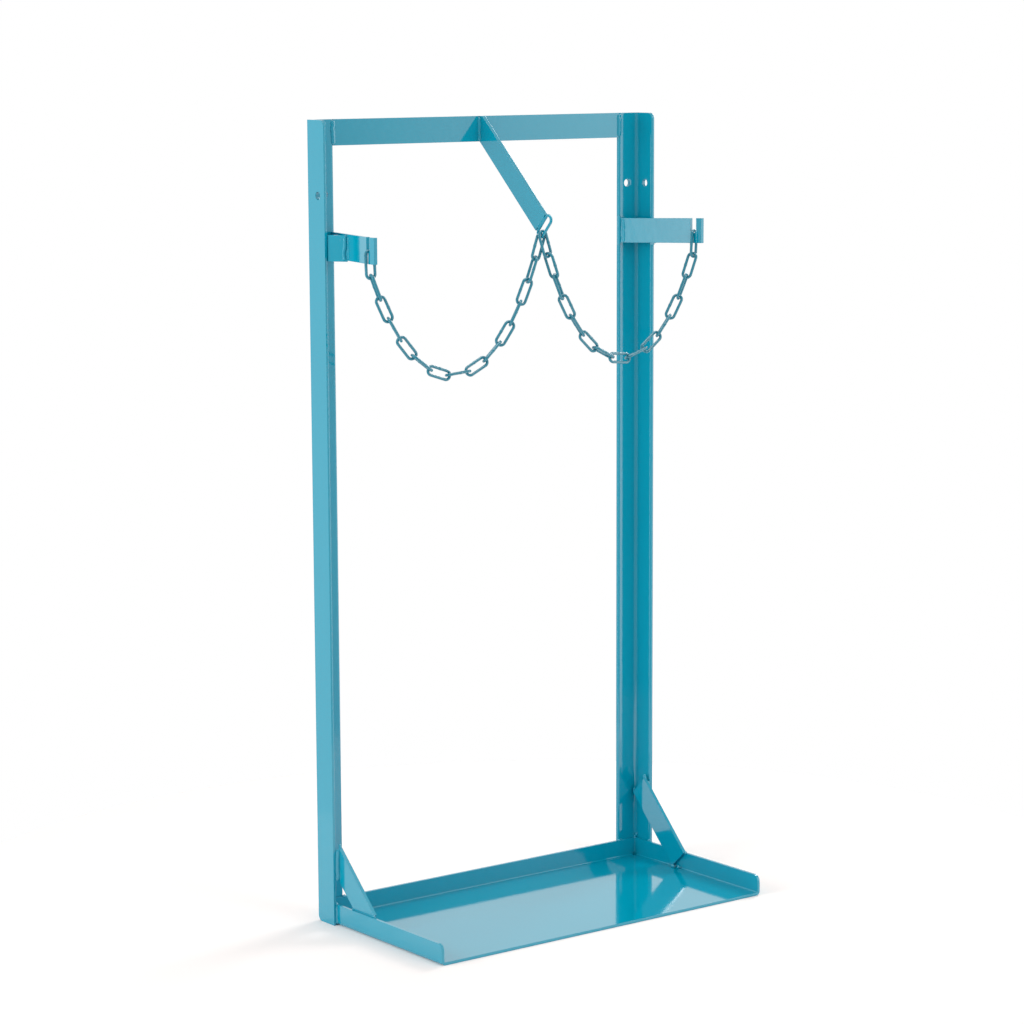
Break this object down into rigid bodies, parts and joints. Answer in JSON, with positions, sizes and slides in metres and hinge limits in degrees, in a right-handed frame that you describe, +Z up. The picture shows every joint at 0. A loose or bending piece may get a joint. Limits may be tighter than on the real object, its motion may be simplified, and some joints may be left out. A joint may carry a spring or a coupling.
{
  "type": "gas cylinder stand",
  "caption": "Welded steel stand that holds gas cylinders upright on a tray, held back by hooked chains on a divider arm.",
  "frame": {"origin": "on the floor, in the middle of the width and of the depth", "axes": "+X to the right seen from the front, +Y to the back (the wall side), +Z up"},
  "size_m": [0.5736, 0.283, 1.1],
  "materials": {
    "powder_coat": "gloss powder coat",
    "chain_coat": "gloss powder coat"
  },
  "bodies": {
    "stand": {"left_upright": "powder_coat", "right_upright": "powder_coat", "crossbar": "powder_coat", "divider_arm": "powder_coat", "divider_link": "powder_coat", "left_hook_bar": "powder_coat", "right_hook_bar": "powder_coat", "left_hook_strut": "powder_coat", "right_hook_strut": "powder_coat", "tray": "powder_coat", "left_brace": "powder_coat", "right_brace": "powder_coat"},
    "left_chain": {"left_chain_link_01": "chain_coat", "left_chain_link_02": "chain_coat", "left_chain_link_03": "chain_coat", "left_chain_link_04": "chain_coat", "left_chain_link_05": "chain_coat", "left_chain_link_06": "chain_coat", "left_chain_link_07": "chain_coat", "left_chain_link_08": "chain_coat", "left_chain_link_09": "chain_coat", "left_chain_link_10": "chain_coat", "left_chain_link_11": "chain_coat", "left_chain_link_12": "chain_coat", "left_chain_link_13": "chain_coat", "left_chain_link_14": "chain_coat", "left_chain_link_15": "chain_coat"},
    "right_chain": {"right_chain_link_01": "chain_coat", "right_chain_link_02": "chain_coat", "right_chain_link_03": "chain_coat", "right_chain_link_04": "chain_coat", "right_chain_link_05": "chain_coat", "right_chain_link_06": "chain_coat", "right_chain_link_07": "chain_coat", "right_chain_link_08": "chain_coat", "right_chain_link_09": "chain_coat", "right_chain_link_10": "chain_coat", "right_chain_link_11": "chain_coat", "right_chain_link_12": "chain_coat", "right_chain_link_13": "chain_coat", "right_chain_link_14": "chain_coat", "right_chain_link_15": "chain_coat"}
  },
  "joints": [
    {"name": "left_chain_swing", "type": "hinge", "parent": "stand", "child": "left_chain", "pos_m": [-0.27931, 0.00781, 0.9324], "axis": [0.9991, -0.0196, 0.0381], "range_deg": [0, 12]},
    {"name": "right_chain_swing", "type": "hinge", "parent": "stand", "child": "right_chain", "pos_m": [0.27931, 0.00781, 0.93655], "axis": [0.9987, 0.0357, -0.0374], "range_deg": [-12, 0]}
  ]
}
